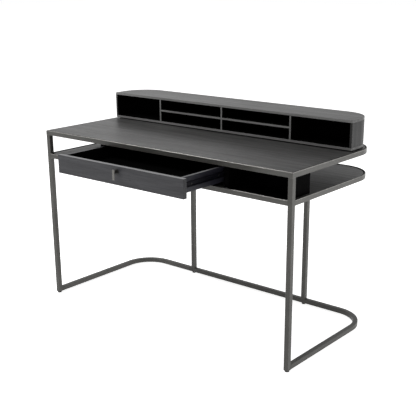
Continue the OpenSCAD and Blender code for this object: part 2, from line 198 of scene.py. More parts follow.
def bronzed_steel(name, drawn, dark=(0.058, 0.056, 0.051), light=(0.082, 0.080, 0.074), metallic=0.15):
    """Blackened steel under satin lacquer, with faint draw lines. Drawn is how fine they are on each axis."""
    material, tree, shader, place = new_material(
        name, Metallic=metallic, IOR=1.5, Coat_Roughness=0.16, Specular_IOR_Level=0.25)
    clouds = add_noise(tree, place, 9, 6, 0.6, 0.4)
    specks = add_noise(tree, place, 420, 3, 0.6)
    lines = add_noise(tree, add_stretch(tree, place, drawn), 1, 3, 0.6)
    wear_and_highlight = add_group(tree, edge_wear_and_highlight, Vector=place, Patchiness=90.0)["Mask"]
    patina = add_range(tree, clouds, 0.3, 0.7)
    base = add_mix(tree, patina, dark, light)
    streaked = add_mix(tree, add_range(tree, lines, 0.3, 0.75, 0, 0.4), base, scaled(dark, 0.6))
    # Outer edges painted lighter: partly rubbed wear, partly a painted highlight.
    rubbed_and_highlit = add_mix(tree, add_math(tree, "MULTIPLY", wear_and_highlight, 0.55), streaked, scaled(light, 3.4))
    tree.links.new(rubbed_and_highlit, shader.inputs["Base Color"])
    dull = add_math(tree, "ADD", add_range(tree, clouds, 0.25, 0.75, 0.34, 0.44),
                    add_math(tree, "MULTIPLY", lines, 0.08))
    tree.links.new(dull, shader.inputs["Roughness"])
    tree.links.new(add_range(tree, specks, 0.4, 0.6, 0.15, 0.3), shader.inputs["Coat Weight"])
    relief = add_math(tree, "ADD", add_math(tree, "MULTIPLY", lines, 0.6),
                      add_math(tree, "MULTIPLY", specks, 0.4))
    add_bump(tree, shader, relief, 0.25, 0.00015)
    return material


# A darker copy of the bronzed steel for the base rail: painted shade under the desk.
base_steel_painted_shade = bronzed_steel("bronzed_steel_base_painted_shade", LEVEL_LINES,
                           (0.040, 0.0388, 0.0350), (0.060, 0.0584, 0.0535))


def finish(piece, material, body, replaced, ease=0.0, steps=2):
    """Eases the outer edges, smooths the shading, then sets the material, the body and the nodes replaced."""
    bpy.ops.object.mode_set(mode="OBJECT")
    bpy.ops.object.shade_smooth_by_angle(angle=SMOOTH_ANGLE)
    if ease:
        soften = piece.modifiers.new("eased edges", "BEVEL")
        soften.width = ease
        soften.segments = steps
        soften.limit_method = "ANGLE"
        soften.angle_limit = SMOOTH_ANGLE
        bpy.ops.object.modifier_apply(modifier=soften.name)
        bpy.ops.object.shade_smooth_by_angle(angle=SMOOTH_ANGLE)
    weighted = piece.modifiers.new("flat faces", "WEIGHTED_NORMAL")
    weighted.keep_sharp = True
    bpy.ops.object.modifier_apply(modifier=weighted.name)
    if not piece.data.materials:
        piece.data.materials.append(material)
    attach(piece, body)
    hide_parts(*replaced)
    piece.select_set(False)


rail_low, rail_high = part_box("base_rail")
tube_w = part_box("front_leg_left")[1].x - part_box("front_leg_left")[0].x
bpy.ops.mesh.primitive_plane_add(
    size=1, rotation=(pi / 2, 0, 0),
    location=(rail_low.x + tube_w / 2, rail_low.y, (rail_low.z + rail_high.z) / 2))
base_rail = bpy.context.object
base_rail.name = base_rail.data.name = "base_rail_tube"
base_rail.scale = (tube_w, rail_high.z - rail_low.z, 1)
bpy.ops.object.transform_apply(location=True, rotation=True, scale=True)
bpy.ops.object.mode_set(mode="EDIT")
bpy.ops.mesh.select_all(action="SELECT")
bpy.ops.mesh.bevel(offset=TUBE_R, segments=TUBE_STEPS, affect="VERTICES")
bpy.ops.mesh.select_all(action="SELECT")
back_run = rail_high.y - CORNER_R - rail_low.y
side_run = rail_high.x - rail_low.x - 2 * CORNER_R
for run, centre_x in (((0, back_run, 0), rail_low.x + CORNER_R),
                      ((side_run, 0, 0), rail_high.x - CORNER_R)):
    bpy.ops.mesh.extrude_region_move(TRANSFORM_OT_translate={"value": run})
    bpy.ops.mesh.spin(steps=CORNER_STEPS, angle=pi / 2, axis=(0, 0, 1),
                      center=(centre_x, rail_high.y - CORNER_R, 0))
bpy.ops.mesh.extrude_region_move(TRANSFORM_OT_translate={"value": (0, -back_run, 0)})
bpy.ops.mesh.select_all(action="SELECT")
bpy.ops.mesh.remove_doubles(threshold=MERGE_DISTANCE)
bpy.ops.mesh.normals_make_consistent(inside=False)
finish(base_rail, base_steel_painted_shade, "desk", ["base_rail"])

# ---------------------------------------------------------------------------
# Legs
# Four square tubes stand upright. The front two run from the floor to the top
# frame, with an open lower end, and the rear two are welded on the base rail.

TUBE_WALL = 0.0015
PLUG_ROOM = 0.020
UPRIGHT_LINES = (900, 900, 6)
SQUARE_ON = 0.9

upright_steel = bronzed_steel("bronzed_steel_upright", UPRIGHT_LINES,
                              (0.050, 0.0485, 0.0440), (0.072, 0.0702, 0.0645))


def add_block(name, low, high):
    """A cube between two corners, in edit mode."""
    size = Vector(high) - Vector(low)
    bpy.ops.mesh.primitive_cube_add(size=1, location=(Vector(low) + Vector(high)) / 2, scale=size)
    bpy.ops.object.transform_apply(location=True, rotation=True, scale=True)
    block = bpy.context.object
    block.name = block.data.name = name
    bpy.ops.object.mode_set(mode="EDIT")
    return block


def pick(piece, kind, rule):
    """Selects only the faces or edges whose middle and normal, or middle and direction, pass a rule."""
    bpy.ops.mesh.select_mode(type=kind)
    bpy.ops.mesh.select_all(action="DESELECT")
    mesh = bmesh.from_edit_mesh(piece.data)
    if kind == "FACE":
        for face in mesh.faces:
            face.select_set(bool(rule(face.calc_center_median(), face.normal)))
    else:
        for edge in mesh.edges:
            one, two = (corner.co for corner in edge.verts)
            edge.select_set(bool(rule((one + two) / 2, (two - one).normalized())))
    mesh.select_flush_mode()
    bmesh.update_edit_mesh(piece.data)


def upright(middle, along):
    """A rule for pick: an edge that stands."""
    return abs(along.z) > SQUARE_ON


def add_leg(name, node):
    """A square tube in a node's box, with its long edges rounded, in edit mode."""
    low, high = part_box(node)
    leg = add_block(name, low, high)
    pick(leg, "EDGE", upright)
    bpy.ops.mesh.bevel(offset=TUBE_R, segments=TUBE_STEPS, affect="EDGES")
    return leg


for side in ("left", "right"):
    leg = add_leg(f"front_leg_tube_{side}", f"front_leg_{side}")
    pick(leg, "FACE", lambda middle, normal: normal.z < -SQUARE_ON)
    bpy.ops.mesh.inset(thickness=TUBE_WALL)
    bpy.ops.mesh.extrude_region_move(TRANSFORM_OT_translate={"value": (0, 0, PLUG_ROOM)})
    finish(leg, upright_steel, "desk", [f"front_leg_{side}"])
    leg = add_leg(f"rear_leg_tube_{side}", f"rear_leg_{side}")
    finish(leg, upright_steel, "desk", [f"rear_leg_{side}"])

# ---------------------------------------------------------------------------
# Top frame and shelf frame
# Two rings of steel angle, rolled round the rear corners. A thin lip shows round
# each panel, and a flange below carries it. The shelf ring is cut for the front legs.

LIP_T = 0.003
FLANGE_T = 0.003
LIP_R = 0.0024
LIP_STEPS = 5
RING_EASE = 0.0006
OVERCUT = 0.001
UPRIGHT_FACE = 0.1
LEVEL_FACE = 0.97
SAME_PLACE = 0.0002


def near(a, b):
    return abs(a - b) < SAME_PLACE


def upward(middle, normal):
    """A rule for pick and paint_faces: a face that looks up."""
    return normal.z > SQUARE_ON


def add_d_block(name, low, high, radius):
    """A slab with square front corners and round rear ones, in edit mode."""
    slab = add_block(name, low, high)
    pick(slab, "EDGE", lambda middle, along: upright(middle, along) and near(middle.y, high[1]))
    bpy.ops.mesh.bevel(offset=radius, segments=CORNER_STEPS, affect="EDGES", clamp_overlap=False)
    return slab


def cut_block(piece, low, high):
    """Takes the space between two corners out of a piece in edit mode."""
    bpy.ops.object.mode_set(mode="OBJECT")
    piece.select_set(False)
    cutter = add_block("cutter", low, high)
    bpy.ops.object.mode_set(mode="OBJECT")
    bpy.context.view_layer.objects.active = piece
    cut = piece.modifiers.new("cut", "BOOLEAN")
    cut.operation = "DIFFERENCE"
    cut.solver = "EXACT"
    cut.object = cutter
    bpy.ops.object.modifier_apply(modifier=cut.name)
    bpy.data.objects.remove(cutter)
    piece.select_set(True)
    bpy.ops.object.mode_set(mode="EDIT")


def on_outline(middle, low, high):
    """Whether a point lies on the outside of a D-shaped slab between two corners."""
    across = abs(middle.x) - (high.x - CORNER_R)
    behind = middle.y - (high.y - CORNER_R)
    if across > 0 and behind > 0:
        return Vector((across, behind)).length > CORNER_R - LIP_T / 2
    return near(abs(middle.x), high.x) or near(middle.y, low.y) or near(middle.y, high.y)


def paint_faces(piece, material, rule):
    """Gives another material to the faces, in edit mode, that pass a rule."""
    if material.name not in piece.data.materials:
        piece.data.materials.append(material)
    number = piece.data.materials.find(material.name)
    for face in bmesh.from_edit_mesh(piece.data).faces:
        if rule(face.calc_center_median(), face.normal):
            face.material_index = number
    bmesh.update_edit_mesh(piece.data)


# The lip's rounded top gets a light, glossy steel as a painted highlight, and its inner face a near black
# steel as painted shade.
level_steel = bronzed_steel("bronzed_steel_level", LEVEL_LINES)
lip_steel_painted_highlight = bronzed_steel("bronzed_steel_lip_painted_highlight", LEVEL_LINES,
                          (0.20, 0.195, 0.186), (0.29, 0.283, 0.270), metallic=0.85)
groove_steel_painted_shade = bronzed_steel("bronzed_steel_groove_painted_shade", LEVEL_LINES,
                             (0.004, 0.004, 0.004), (0.009, 0.009, 0.008), metallic=0.1)

for name, node in (("top_frame_ring", "top_frame"), ("shelf_frame_ring", "shelf_frame")):
    low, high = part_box(node)
    ring = add_d_block(name, low, high, CORNER_R)
    pick(ring, "FACE", upward)
    bpy.ops.mesh.inset(thickness=LIP_T, use_even_offset=True)
    bpy.ops.mesh.extrude_region_move(
        TRANSFORM_OT_translate={"value": (0, 0, FLANGE_T - (high.z - low.z))})
    bpy.ops.mesh.inset(thickness=tube_w - LIP_T, use_even_offset=True)
    bpy.ops.mesh.delete(type="FACE")
    pick(ring, "FACE", lambda middle, normal: normal.z < -SQUARE_ON)
    bpy.ops.mesh.inset(thickness=tube_w, use_even_offset=True)
    bpy.ops.mesh.delete(type="FACE")
    bpy.ops.mesh.select_mode(type="EDGE")
    bpy.ops.mesh.select_all(action="DESELECT")
    bpy.ops.mesh.select_non_manifold()
    bpy.ops.mesh.bridge_edge_loops()
    bpy.ops.mesh.select_all(action="SELECT")
    bpy.ops.mesh.normals_make_consistent(inside=False)
    pick(ring, "EDGE", lambda middle, along: near(middle.z, high.z) and on_outline(middle, low, high))
    bpy.ops.mesh.bevel(offset=LIP_R, segments=LIP_STEPS, affect="EDGES")
    if node == "shelf_frame":
        for side, outer in (("left", -1), ("right", 1)):
            leg_low, leg_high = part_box(f"front_leg_{side}")
            cut_block(ring, leg_low + Vector((min(outer, 0) * OVERCUT, -OVERCUT, 0)),
                      leg_high + Vector((max(outer, 0) * OVERCUT, 0, 0)))
    ring.data.materials.append(level_steel)
    # Painted highlight: the rounded top of the lip gets the light steel.
    paint_faces(ring, lip_steel_painted_highlight, lambda middle, normal: UPRIGHT_FACE < normal.z < LEVEL_FACE
                and middle.z > high.z - LIP_R)
    # Painted shade: the inner face of the lip gets the near black steel.
    paint_faces(ring, groove_steel_painted_shade, lambda middle, normal: abs(normal.z) < UPRIGHT_FACE
                and middle.z > low.z + FLANGE_T and not on_outline(middle, low, high))
    finish(ring, level_steel, "desk", [node], ease=RING_EASE)

# ---------------------------------------------------------------------------
# Desktop and shelf panels
# Boards veneered with open-pored oak, stained charcoal and sealed matt, grain from left
# to right. A painted shadow line runs along their edges, and inside the cubby the shelf top is painted black
# as shade.

PANEL_EASE = 0.0006
DESKTOP_SHADE_LINE = 0.0022
SHELF_SHADE_LINE = 0.0045
LEG_PLAY = Vector((0.001, 0.001, 0))

# Oak figure: long soft streaks, short dark pores and a slow change over the sheet.
oak, oak_in, oak_out = new_group(
    "oak_figure",
    [("Vector", "NodeSocketVector", None)],
    [("Streaks", "NodeSocketFloat"), ("Pores", "NodeSocketFloat"), ("Sheet", "NodeSocketFloat"),
     ("Height", "NodeSocketFloat")],
)
grain_place = oak_in.outputs["Vector"]
wander = add_noise(oak, add_stretch(oak, grain_place, (1.1, 5, 5)), 1, 2)
bent = oak.nodes.new("ShaderNodeVectorMath")
bent.operation = "MULTIPLY_ADD"
bent.inputs[1].default_value = (0, 0.045, 0.045)
oak.links.new(wander, bent.inputs[0])
oak.links.new(grain_place, bent.inputs[2])
broad = add_noise(oak, add_stretch(oak, bent.outputs["Vector"], (2.2, 70, 70)), 1, 4, 0.62)
fine = add_noise(oak, add_stretch(oak, bent.outputs["Vector"], (9, 420, 420)), 1, 3, 0.6)
dashes = add_noise(oak, add_stretch(oak, bent.outputs["Vector"], (42, 950, 950)), 1, 2, 0.5)
streaks = add_math(oak, "ADD", add_math(oak, "MULTIPLY", broad, 0.65), add_math(oak, "MULTIPLY", fine, 0.35))
pores = add_math(oak, "MULTIPLY", add_range(oak, dashes, 0.60, 0.72), add_range(oak, broad, 0.38, 0.62))
oak.links.new(add_range(oak, streaks, 0.34, 0.66), oak_out.inputs["Streaks"])
oak.links.new(pores, oak_out.inputs["Pores"])
sheet = add_noise(oak, add_stretch(oak, grain_place, (0.9, 3.2, 3.2)), 1, 3)
oak.links.new(sheet, oak_out.inputs["Sheet"])
sunk_pores = add_math(oak, "SUBTRACT", add_math(oak, "MULTIPLY", fine, 0.3), pores)
oak.links.new(sunk_pores, oak_out.inputs["Height"])


def stained_oak(name, dark, light, turn=(0, 0, 0), shine=0.45, streaky=0.04):
    """Charcoal oak veneer under a matt seal. The turn lays the grain along another direction."""
    material, tree, shader, place = new_material(name, IOR=1.5, Specular_IOR_Level=0.28)
    figure = add_group(tree, oak, Vector=add_stretch(tree, place, (1, 1, 1), turn))
    wear_and_highlight = add_group(tree, edge_wear_and_highlight, Vector=place, Patchiness=120.0)["Mask"]
    stain = add_mix(tree, figure["Streaks"], dark, light)
    pored = add_mix(tree, add_math(tree, "MULTIPLY", figure["Pores"], 0.8), stain, scaled(dark, 0.35))
    # Outer edges painted lighter: partly rubbed wear, partly a painted highlight.
    rubbed_and_highlit = add_mix(tree, add_math(tree, "MULTIPLY", wear_and_highlight, 0.45), pored, scaled(light, 2.2))
    tree.links.new(rubbed_and_highlit, shader.inputs["Base Color"])
    seal = add_math(tree, "ADD", add_range(tree, figure["Sheet"], 0.3, 0.7, shine - 0.04, shine + 0.05),
                    add_math(tree, "ADD", add_math(tree, "MULTIPLY", figure["Pores"], 0.22),
                             add_math(tree, "MULTIPLY", figure["Streaks"], -streaky)))
    tree.links.new(seal, shader.inputs["Roughness"])
    add_bump(tree, shader, figure["Height"], 0.35, 0.00025)
    return material


charcoal_oak = stained_oak("charcoal_oak", (0.027, 0.0268, 0.0265), (0.083, 0.0820, 0.0810), shine=0.42)

# Black stained board, darkened further as painted shade: it paints the shadow line along a panel's edge and
# the shade on every face that is inside.
black_board_painted_shade, tree, shader, place = new_material("black_stained_board_painted_shade", IOR=1.45, Specular_IOR_Level=0.01)
fibres = add_noise(tree, add_stretch(tree, place, (26, 260, 260)), 1, 5, 0.65)
shades = add_noise(tree, place, 5, 3)
fibre_mask = add_range(tree, fibres, 0.35, 0.65)
tree.links.new(add_mix(tree, fibre_mask, (0.0006, 0.0006, 0.0007), (0.0021, 0.0020, 0.0020)),
               shader.inputs["Base Color"])
tree.links.new(add_range(tree, shades, 0.3, 0.7, 0.55, 0.68), shader.inputs["Roughness"])
add_bump(tree, shader, fibres, 0.25, 0.0002)

for name, node, shade_line in (("desktop_board", "desktop_panel", DESKTOP_SHADE_LINE),
                         ("shelf_board", "shelf_panel", SHELF_SHADE_LINE)):
    low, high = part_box(node)
    inset = low.x - cad_box[0].x
    board = add_d_block(name, low, high, CORNER_R - inset)
    if node == "shelf_panel":
        for side in ("left", "right"):
            leg_low, leg_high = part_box(f"front_leg_{side}")
            cut_block(board, leg_low - LEG_PLAY, leg_high + LEG_PLAY)
    board.data.materials.append(charcoal_oak)
    # Painted shadow: the top face is painted black, and a border of it stays black as the shadow line along
    # the lip.
    paint_faces(board, black_board_painted_shade, upward)
    pick(board, "FACE", upward)
    bpy.ops.mesh.inset(thickness=shade_line, use_even_offset=True)
    board.active_material_index = 0
    bpy.ops.object.material_slot_assign()
    # Painted shade: the shelf top inside the cubby is painted black.
    if node == "shelf_panel":
        cubby_start, cubby_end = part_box("bay_side_right")[1].x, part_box("cubby_side")[0].x
        cubby_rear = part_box("cubby_back")[0].y
        for place_cut, square_to in (((cubby_start, 0, 0), (1, 0, 0)), ((cubby_end, 0, 0), (1, 0, 0)),
                                     ((0, cubby_rear, 0), (0, 1, 0))):
            bpy.ops.mesh.select_all(action="SELECT")
            bpy.ops.mesh.bisect(plane_co=place_cut, plane_no=square_to)
        paint_faces(board, black_board_painted_shade, lambda middle, normal: upward(middle, normal)
                    and cubby_start < middle.x < cubby_end and middle.y < cubby_rear)
    finish(board, charcoal_oak, "desk", [node], ease=PANEL_EASE)

# ---------------------------------------------------------------------------
# Frame screws
# Six-lobe pan head screws come up through the flanges into blind holes in the
# underside of each panel. They are zinc plated, and hold the panels down flat.

FRONT_SCREW_INSET = 0.150
REAR_SCREW_INSET = 0.030
PAN_HEAD_R = 0.004
PAN_HEAD_H = 0.002
SHANK_R = 0.002
PANEL_GRIP = 0.012
SCREW_SIDES = 24
FLAT_RIM = 0.0002
PAN_RIM_SHARE = 0.55
ROUND_STEPS = 4
LOBES = 6
LOBE_R = 0.0015
LOBE_SWELL = 0.14
LOBE_DEPTH = 0.0011
TIP_H = 0.002
TIP_TAPER = 0.35


def plated_steel(name, dark, light, dull):
    """Thin zinc plate: slightly cloudy, with a fine grain."""
    material, tree, shader, place = new_material(name, Metallic=1.0)
    clouds = add_noise(tree, place, 140, 4)
    grain = add_noise(tree, place, 1800, 2)
    plate = add_mix(tree, add_range(tree, clouds, 0.35, 0.65), dark, light)
    wear_and_highlight = add_group(tree, edge_wear_and_highlight, Vector=place, Patchiness=300.0)["Mask"]
    # Outer edges painted lighter: partly rubbed wear, partly a painted glint.
    tree.links.new(add_mix(tree, add_math(tree, "MULTIPLY", wear_and_highlight, 0.4), plate, (0.62, 0.61, 0.58)),
                   shader.inputs["Base Color"])
    tree.links.new(add_range(tree, clouds, 0.3, 0.7, dull, dull + 0.14), shader.inputs["Roughness"])
    add_bump(tree, shader, grain, 0.3, 0.00008)
    return material


zinc_plate = plated_steel("zinc_plate", (0.36, 0.36, 0.35), (0.52, 0.51, 0.49), 0.30)


def add_screw(head_r, head_h, shank_r, reach, flat_head=False):
    """One screw that points down, with the top of its head at Z = 0, in edit mode."""
    bpy.ops.mesh.primitive_cylinder_add(
        vertices=SCREW_SIDES, radius=head_r, depth=head_h, location=(0, 0, -head_h / 2))
    screw = bpy.context.object
    bpy.ops.object.transform_apply(location=True, rotation=True, scale=True)
    bpy.ops.object.mode_set(mode="EDIT")
    rim = FLAT_RIM if flat_head else head_h * PAN_RIM_SHARE
    pick(screw, "EDGE", lambda middle, along: near(middle.z, 0) and middle.length > head_r * 0.9)
    bpy.ops.mesh.bevel(offset=rim, segments=ROUND_STEPS, affect="EDGES")
    pick(screw, "FACE", lambda middle, normal: normal.z > 0.99 and middle.length < head_r * 0.1)
    bpy.ops.mesh.inset(thickness=head_r - rim - LOBE_R)
    for corner in (v for v in bmesh.from_edit_mesh(screw.data).verts if v.select):
        swell = 1 + LOBE_SWELL * cos(LOBES * atan2(corner.co.y, corner.co.x))
        corner.co.x *= swell
        corner.co.y *= swell
    bpy.ops.mesh.extrude_region_move(TRANSFORM_OT_translate={"value": (0, 0, -LOBE_DEPTH)})
    pick(screw, "FACE", lambda middle, normal: normal.z < -0.99)
    if flat_head:
        bpy.ops.transform.resize(value=(shank_r / head_r, shank_r / head_r, 1))
    else:
        bpy.ops.mesh.inset(thickness=head_r - shank_r)
    bpy.ops.mesh.extrude_region_move(TRANSFORM_OT_translate={"value": (0, 0, head_h + TIP_H - reach)})
    bpy.ops.mesh.extrude_region_move(TRANSFORM_OT_translate={"value": (0, 0, -TIP_H)})
    bpy.ops.transform.resize(value=(TIP_TAPER, TIP_TAPER, 1))
    bpy.ops.object.mode_set(mode="OBJECT")
    return screw


def set_copies(master, name, moves):
    """Puts one copy of a finished piece at each move, as one object, and takes the first away."""
    master.select_set(False)
    copies = []
    for move in moves:
        copy = master.copy()
        copy.data = master.data.copy()
        copy.data.transform(move)
        bpy.context.collection.objects.link(copy)
        copy.select_set(True)
        copies.append(copy)
    bpy.context.view_layer.objects.active = copies[0]
    bpy.ops.object.join()
    bpy.data.objects.remove(master)
    copies[0].name = copies[0].data.name = name
    bpy.ops.object.mode_set(mode="EDIT")
    return copies[0]


flange_mid = (LIP_T + tube_w) / 2
desk_low, desk_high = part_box("top_frame")
upside_down = Matrix.Rotation(pi, 4, "X")
for name, node, ring_node in (("desktop_pan_screws", "desktop_screws", "top_frame"),
                              ("shelf_pan_screws", "shelf_screws", "shelf_frame")):
    head_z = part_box(ring_node)[0].z - PAN_HEAD_H
    moves = []
    for side in (-1, 1):
        for x, y in ((desk_high.x - FRONT_SCREW_INSET, desk_low.y + flange_mid),
                     (desk_high.x - flange_mid, (desk_low.y + desk_high.y) / 2),
                     (desk_high.x - CORNER_R - REAR_SCREW_INSET, desk_high.y - flange_mid)):
            moves.append(Matrix.Translation((side * x, y, head_z)) @ upside_down)
    screw = add_screw(PAN_HEAD_R, PAN_HEAD_H, SHANK_R, PAN_HEAD_H + FLANGE_T + PANEL_GRIP)
    finish(set_copies(screw, name, moves), zinc_plate, "desk", [node])

# ---------------------------------------------------------------------------
# Floor glides
# A round black glide is pressed into the end of each front leg and into the rail
# below each rear leg. The plugs in the front legs are the modelled CAD solids.

GLIDE_SIDES = 40
GLIDE_STEM_R = 0.004
GLIDE_EASE = 0.0012

nylon, tree, shader, place = new_material("black_nylon", IOR=1.5, Specular_IOR_Level=0.35)
moulded = add_noise(tree, place, 900, 3)
scuffs = add_range(tree, add_noise(tree, add_stretch(tree, place, (90, 90, 12)), 1, 5), 0.55, 0.75)
tree.links.new(add_mix(tree, scuffs, (0.012, 0.012, 0.012), (0.035, 0.034, 0.033)),
               shader.inputs["Base Color"])
tree.links.new(add_range(tree, moulded, 0.3, 0.7, 0.5, 0.68), shader.inputs["Roughness"])
add_bump(tree, shader, moulded, 0.4, 0.0001)


def repaint(node, material):
    """Sets the material of a CAD solid that is shown as it was designed."""
    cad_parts[node].data.materials.clear()
    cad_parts[node].data.materials.append(material)


glides_low, glides_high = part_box("floor_glides")
glide_h = rail_low.z - glides_low.z
glide_r = desk_low.x + tube_w / 2 - glides_low.x
bpy.ops.mesh.primitive_cylinder_add(
    vertices=GLIDE_SIDES, radius=glide_r, depth=glide_h, location=(0, 0, glide_h / 2))
glide = bpy.context.object
bpy.ops.object.transform_apply(location=True, rotation=True, scale=True)
bpy.ops.object.mode_set(mode="EDIT")
pick(glide, "EDGE", lambda middle, along: near(middle.z, 0) and middle.length > glide_r * 0.9)
bpy.ops.mesh.bevel(offset=GLIDE_EASE, segments=ROUND_STEPS, affect="EDGES")
pick(glide, "FACE", lambda middle, normal: normal.z > 0.99)
bpy.ops.mesh.inset(thickness=glide_r - GLIDE_STEM_R)
bpy.ops.mesh.extrude_region_move(TRANSFORM_OT_translate={"value": (0, 0, glides_high.z - glide_h)})
bpy.ops.object.mode_set(mode="OBJECT")
rear_leg_x = sum(corner.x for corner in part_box("rear_leg_right")) / 2
moves = []
for side in (-1, 1):
    moves.append(Matrix.Translation((side * (desk_high.x - tube_w / 2), desk_low.y + tube_w / 2, 0)))
    moves.append(Matrix.Translation((side * rear_leg_x, desk_high.y - tube_w / 2, 0)))
finish(set_copies(glide, "nylon_glides", moves), nylon, "desk", ["floor_glides"])
repaint("leg_plugs", nylon)

# ---------------------------------------------------------------------------
# Drawer bay and cubby
# Boards between shelf and desktop carry the drawer on the left and close a small
# open cubby on the right. They are fine chipboard with a black stained paper face, made near black to paint
# the shade inside.

BOARD_EASE = 0.0006

for node in ("bay_side_left", "bay_side_right", "bay_back", "cubby_side", "cubby_back"):
    finish(add_block(f"{node}_board", *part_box(node)), black_board_painted_shade, "desk", [node],
           ease=BOARD_EASE)

# ---------------------------------------------------------------------------
# Drawer runners
# Ball runners of folded steel strip: one channel screwed to each bay side and a
# smaller one, nested in it, on each drawer side. They are coated black.

SHEET = 0.0012
FOLD_R = 0.0016
RUNNER_HEAD_R = 0.0035
RUNNER_HEAD_H = 0.0014
RUNNER_SHANK_R = 0.00175
RUNNER_GRIP = 0.009
RUNNER_SCREW_INSET = 0.040

coated, tree, shader, place = new_material("black_coated_steel", IOR=1.5, Specular_IOR_Level=0.08)
orange_peel = add_noise(tree, place, 520, 3)
rub = add_range(tree, add_noise(tree, add_stretch(tree, place, (60, 3, 60)), 1, 4), 0.55, 0.8, 0, 0.5)
tree.links.new(add_mix(tree, rub, (0.0050, 0.0050, 0.0075), (0.0100, 0.0100, 0.0135)),
               shader.inputs["Base Color"])
tree.links.new(add_range(tree, orange_peel, 0.3, 0.7, 0.38, 0.5), shader.inputs["Roughness"])
add_bump(tree, shader, orange_peel, 0.35, 0.0001)
black_plate = plated_steel("black_plate", (0.012, 0.012, 0.014), (0.026, 0.026, 0.029), 0.42)


def add_channel(name, node, web):
    """A channel along Y in a node's box, with its web on the -X or +X side, in edit mode."""
    low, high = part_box(node)
    web_x = high.x if web > 0 else low.x
    channel = add_block(name, low, high)
    pick(channel, "FACE", lambda middle, normal: abs(normal.y) > SQUARE_ON or normal.x * web < -SQUARE_ON)
    bpy.ops.mesh.delete(type="FACE")
    pick(channel, "EDGE", lambda middle, along: abs(along.y) > SQUARE_ON and near(middle.x, web_x))
    bpy.ops.mesh.bevel(offset=FOLD_R, segments=ROUND_STEPS, affect="EDGES")
    bpy.ops.object.mode_set(mode="OBJECT")
    wall = channel.modifiers.new("sheet", "SOLIDIFY")
    wall.thickness = SHEET
    wall.offset = -1
    wall.use_even_offset = True
    bpy.ops.object.modifier_apply(modifier=wall.name)
    bpy.ops.object.mode_set(mode="EDIT")
    return channel


for side, outward in (("left", -1), ("right", 1)):
    for member, body, web in (("fixed", "desk", outward), ("moving", "drawer", -outward)):
        node = f"runner_{member}_{side}"
        finish(add_channel(f"{node}_channel", node, web), coated, body, [node])
    repaint(f"ball_cage_{side}", zinc_plate)
for member, body in (("fixed", "desk"), ("moving", "drawer")):
    moves = []
    for side, outward in (("left", -1), ("right", 1)):
        low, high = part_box(f"runner_{member}_{side}")
        into = outward if member == "fixed" else -outward
        web_x = high.x if into > 0 else low.x
        head_x = web_x - into * (SHEET + RUNNER_HEAD_H)
        aim = Matrix.Rotation(-into * pi / 2, 4, "Y")
        for y in (low.y + RUNNER_SCREW_INSET, (low.y + high.y) / 2, high.y - RUNNER_SCREW_INSET):
            moves.append(Matrix.Translation((head_x, y, (low.z + high.z) / 2)) @ aim)
    screw = add_screw(RUNNER_HEAD_R, RUNNER_HEAD_H, RUNNER_SHANK_R, RUNNER_HEAD_H + SHEET + RUNNER_GRIP)
    finish(set_copies(screw, f"runner_pan_screws_{member}", moves), black_plate, body,
           [f"runner_screws_{member}"])

# ---------------------------------------------------------------------------
# Drawer box
# Sides and back of thin board, grooved for a loose bottom, behind a thicker front.
# The front is veneered like the desktop, and its edges are sealed a little lighter.

GROOVE_PLAY = 0.0002
FRONT_EASE = 0.0009
THIN_EASE = 0.0004
SIDE_TOP_ABOVE = 0.01
GRAIN_ALONG_Y = (0, 0, pi / 2)
GRAIN_UPRIGHT = (0, pi / 2, 0)

drawer_oak = stained_oak("drawer_front_oak", (0.026, 0.026, 0.0295), (0.048, 0.048, 0.0525), shine=0.40)
# The drawer sides get a darker copy of the stain: painted shade under the desk.
side_stain_painted_shade = stained_oak("drawer_side_stain_painted_shade", (0.008, 0.008, 0.013), (0.016, 0.016, 0.022),
                         GRAIN_ALONG_Y, shine=0.45)
end_stain = stained_oak("drawer_end_stain", (0.008, 0.008, 0.010), (0.026, 0.026, 0.029),
                        GRAIN_UPRIGHT, shine=0.45)
sealed_edge = stained_oak("sealed_edge", (0.11, 0.11, 0.115), (0.17, 0.17, 0.176), shine=0.34)
side_edge = stained_oak("drawer_side_edge", (0.030, 0.030, 0.033), (0.052, 0.052, 0.056),
                        GRAIN_ALONG_Y, shine=0.42)

bottom_low, bottom_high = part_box("drawer_bottom")
front = add_block("drawer_front_board", *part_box("drawer_front"))
cut_block(front, bottom_low - Vector((GROOVE_PLAY,) * 3), bottom_high + Vector((GROOVE_PLAY,) * 3))
front.data.materials.append(drawer_oak)
paint_faces(front, sealed_edge, upward)
paint_faces(front, end_stain, lambda middle, normal: abs(normal.x) > SQUARE_ON)
finish(front, drawer_oak, "drawer", ["drawer_front"], ease=FRONT_EASE, steps=3)
for side, outward in (("left", -1), ("right", 1)):
    wall = add_block(f"drawer_side_board_{side}", *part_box(f"drawer_side_{side}"))
    reach = Vector((GROOVE_PLAY, 1, GROOVE_PLAY))
    cut_block(wall, bottom_low - reach, bottom_high + reach)
    wall.data.materials.append(side_stain_painted_shade)
    paint_faces(wall, black_board_painted_shade, lambda middle, normal: normal.x * outward < -SQUARE_ON)
    paint_faces(wall, side_edge, lambda middle, normal: upward(middle, normal)
                and middle.z > bottom_high.z + SIDE_TOP_ABOVE)
    finish(wall, side_stain_painted_shade, "drawer", [f"drawer_side_{side}"], ease=BOARD_EASE)
finish(add_block("drawer_back_board", *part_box("drawer_back")), black_board_painted_shade, "drawer", ["drawer_back"],
       ease=BOARD_EASE)
finish(add_block("drawer_bottom_board", bottom_low, bottom_high), black_board_painted_shade, "drawer", ["drawer_bottom"],
       ease=THIN_EASE)

# ---------------------------------------------------------------------------
# Pull
# A turned rosette and stem of bronzed steel carry a flat tab that hangs across the
# stem's end. A bolt from inside the drawer holds all three.

PULL_SIDES = 48
TURNED_STEPS = 3
ROSETTE_EASE = 0.0007
STEM_EASE = 0.0009
TAB_CORNER_R = 0.0012
TAB_EASE = 0.0006
TURNED_LINES = (400, 6, 400)

